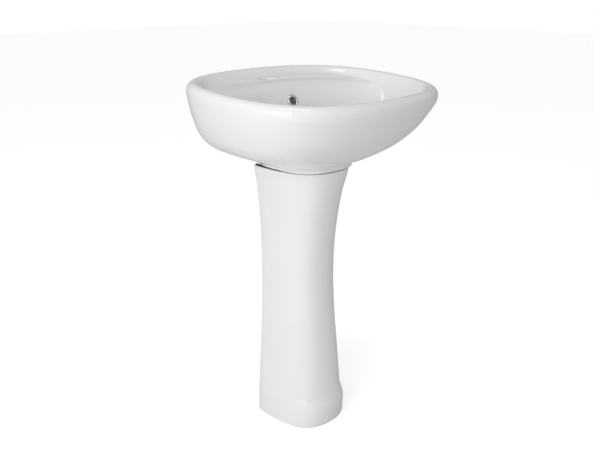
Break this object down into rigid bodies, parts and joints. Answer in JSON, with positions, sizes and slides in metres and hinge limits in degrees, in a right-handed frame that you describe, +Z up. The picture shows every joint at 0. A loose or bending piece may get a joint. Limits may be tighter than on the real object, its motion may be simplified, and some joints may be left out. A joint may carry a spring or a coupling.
{
  "type": "pedestal sink",
  "caption": "White ceramic pedestal sink: oval basin with one tap hole and overflow on a waisted open-backed pedestal, with sprung plug and bottle trap.",
  "frame": {"origin": "floor level, midway across the sink and midway between the wall plane and the front of the rim", "axes": "+Z up, -Y towards the user, +Y into the wall, X across the sink's symmetry plane"},
  "size_m": [0.5502, 0.458, 0.845],
  "materials": {
    "china": "high gloss white glaze",
    "black_rubber": "matt",
    "chrome": "polished",
    "grey_plastic": "satin",
    "white_plastic": "satin",
    "brass": "machined",
    "spring_steel": "drawn wire"
  },
  "bodies": {
    "fixture": {"basin": "china", "pedestal": "china", "basin_cushion": "black_rubber", "overflow_ring": "chrome", "overflow_insert": "grey_plastic", "waste_top_gasket": "black_rubber", "waste_body": "chrome", "waste_bottom_gasket": "black_rubber", "waste_washer": "white_plastic", "waste_back_nut": "brass", "click_cartridge": "white_plastic", "cartridge_spring": "spring_steel", "trap_inlet_washer": "black_rubber", "trap_inlet_nut": "white_plastic", "trap_head": "white_plastic", "trap_dip_tube": "white_plastic", "trap_outlet_washer": "black_rubber", "trap_outlet_nut": "white_plastic", "outlet_pipe": "white_plastic"},
    "plug": {"plug_cap": "chrome", "plug_seal": "black_rubber", "plug_stem": "brass"},
    "cup_seal": {"trap_cup_seal": "black_rubber"},
    "cup": {"trap_cup": "white_plastic"}
  },
  "joints": [
    {"name": "plug_slide", "type": "slide", "parent": "fixture", "child": "plug", "axis": [0, 0, 1], "range_m": [0, 0.008], "deforming": ["cartridge_spring"]},
    {"name": "cup_drop", "type": "slide", "parent": "fixture", "child": "cup_seal", "axis": [0, 0, -1], "range_m": [0, 0.009]},
    {"name": "cup_turn", "type": "hinge", "parent": "cup_seal", "child": "cup", "pos_m": [0, 0.015, 0.5], "axis": [0, 0, -1], "range_deg": [0, 1080]}
  ],
  "couplings": [
    {"joint": "cup_drop", "follows": "cup_turn", "m_per_rad": 0.00047746}
  ]
}
